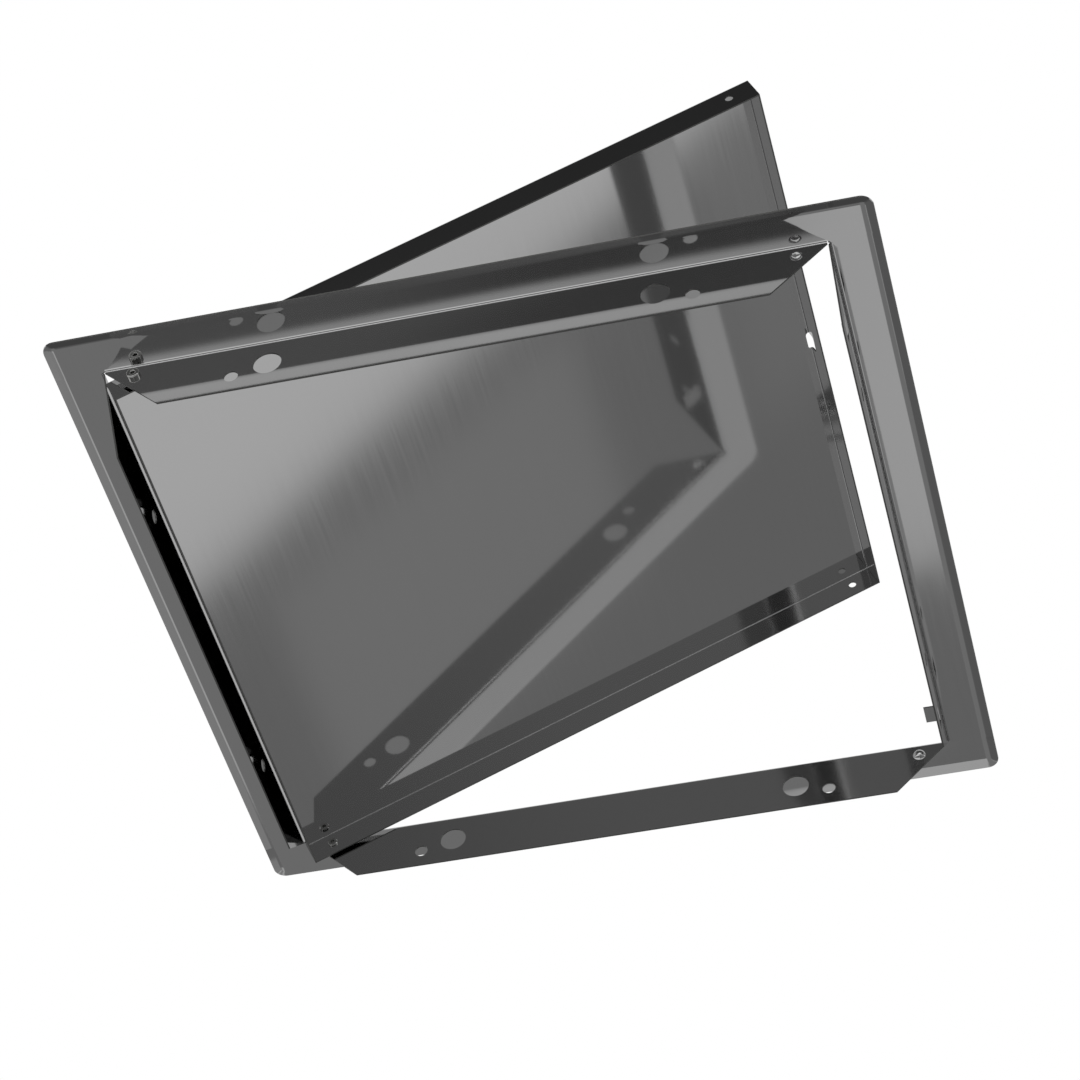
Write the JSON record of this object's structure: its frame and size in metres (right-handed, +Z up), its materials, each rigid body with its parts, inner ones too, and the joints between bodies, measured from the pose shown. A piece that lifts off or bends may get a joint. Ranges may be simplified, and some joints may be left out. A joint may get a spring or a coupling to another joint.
{
  "type": "access panel",
  "caption": "Square steel access panel: a flanged frame with punched wall flaps and a shallow tray door swung open on hollow hinge pins.",
  "frame": {"origin": "middle of the clear opening, in the plane of the wall that the frame's rim touches", "axes": "+Z up, +Y into the wall, +X to the right as seen from the front, towards the hinge side"},
  "size_m": [0.342, 0.1416, 0.342],
  "materials": {
    "sheet_steel": "bright cold-rolled stainless sheet, softly mirroring",
    "pin_steel": "turned steel"
  },
  "bodies": {
    "frame": {"frame": "sheet_steel", "hinge_pin_top": "pin_steel", "hinge_pin_bottom": "pin_steel"},
    "door": {"door": "sheet_steel"}
  },
  "joints": [
    {"name": "door_hinge", "type": "hinge", "parent": "frame", "child": "door", "pos_m": [0.137, 0.00455, 0], "axis": [0, 0, 1], "range_deg": [-24, 96]}
  ]
}
